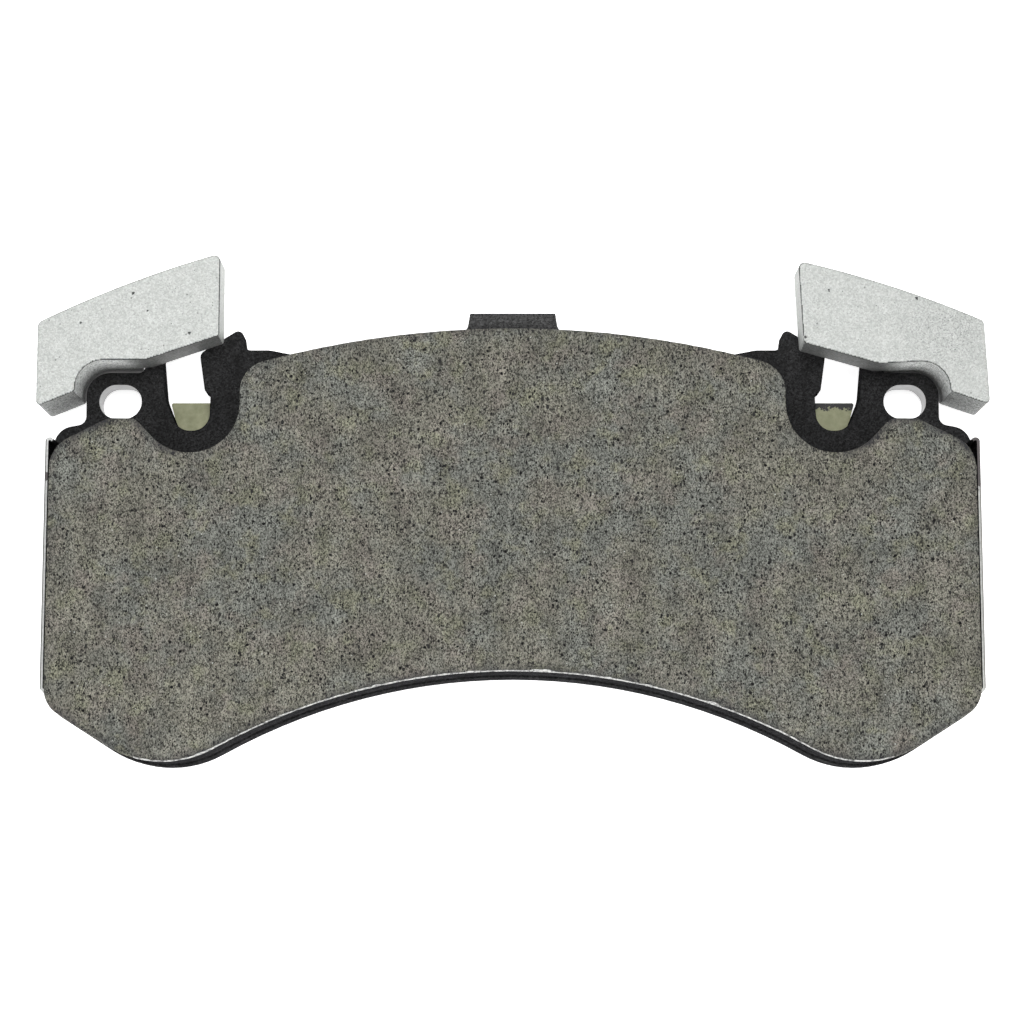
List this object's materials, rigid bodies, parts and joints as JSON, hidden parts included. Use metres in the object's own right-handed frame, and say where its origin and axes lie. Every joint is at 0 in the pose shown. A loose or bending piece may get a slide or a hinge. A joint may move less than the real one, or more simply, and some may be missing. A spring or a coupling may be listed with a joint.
{
  "type": "brake pad",
  "caption": "Disc brake pad for a large fixed caliper: speckled friction block on a notched steel backing plate, with end strips, bonded shim and damper weights at the upper corners.",
  "frame": {"origin": "on the back of the shim, on the pad's centre line, at the middle of the rubbed track; the disc's axis stands 160 mm from it along -Y", "axes": "+X along the pad's length, +Y away from the disc's axis, +Z square to the friction face, towards the disc"},
  "size_m": [0.1971, 0.1058, 0.0181],
  "materials": {
    "friction_composite": "matte",
    "underlayer_composite": "matte",
    "black_powder_coat": "satin",
    "plated_casting": "satin",
    "rivet_steel": "satin",
    "stainless_strip": "satin",
    "adhesive_film": "matte",
    "shim_sheet": "satin",
    "damping_core": "matte",
    "shim_coating": "matte"
  },
  "bodies": {
    "root": {"friction_block": "friction_composite", "underlayer": "underlayer_composite", "backing_plate": "black_powder_coat", "damper_weight_left": "plated_casting", "damper_weight_right": "plated_casting", "damper_rivet_left": "rivet_steel", "damper_rivet_right": "rivet_steel", "abutment_strip_left": "stainless_strip", "abutment_strip_right": "stainless_strip", "strip_rivets_left": "rivet_steel", "strip_rivets_right": "rivet_steel", "shim_adhesive_film": "adhesive_film", "shim_inner_sheet": "shim_sheet", "shim_damping_core": "damping_core", "shim_outer_sheet": "shim_coating"}
  },
  "joints": []
}
